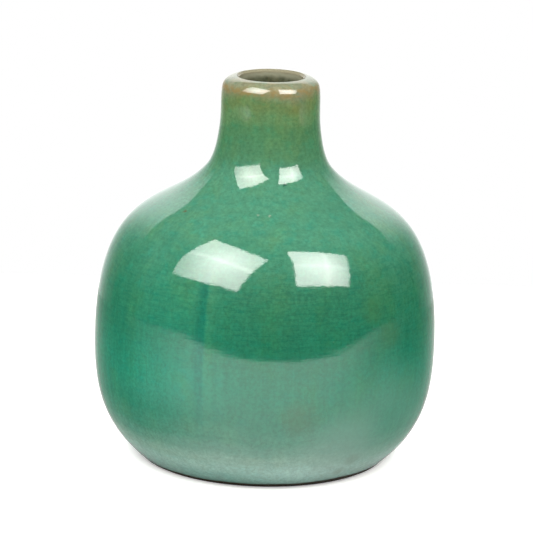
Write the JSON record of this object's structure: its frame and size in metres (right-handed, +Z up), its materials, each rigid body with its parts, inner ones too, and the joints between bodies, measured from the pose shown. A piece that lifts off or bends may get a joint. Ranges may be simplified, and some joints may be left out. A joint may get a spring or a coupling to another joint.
{
  "type": "bud vase",
  "caption": "Small wheel-thrown ceramic bud vase with a full round belly, sloping shoulders, a short narrow neck with a rounded lip, and a turned foot ring.",
  "frame": {"origin": "on the vase's axis, in the plane that the foot ring stands on", "axes": "+Z up along the vase's axis; X and Y lie in the standing plane, and the vase is the same all round"},
  "size_m": [0.1, 0.1, 0.1133],
  "materials": {
    "bare_clay": "unglazed dark brown stoneware, matt",
    "green_glaze": "glossy mottled teal green glaze, olive up the neck and brown where it breaks over the lip",
    "liner_glaze": "glossy grey olive liner glaze"
  },
  "bodies": {
    "root": {"clay_body": "bare_clay", "outside_glaze": "green_glaze", "liner_glaze": "liner_glaze"}
  },
  "joints": []
}
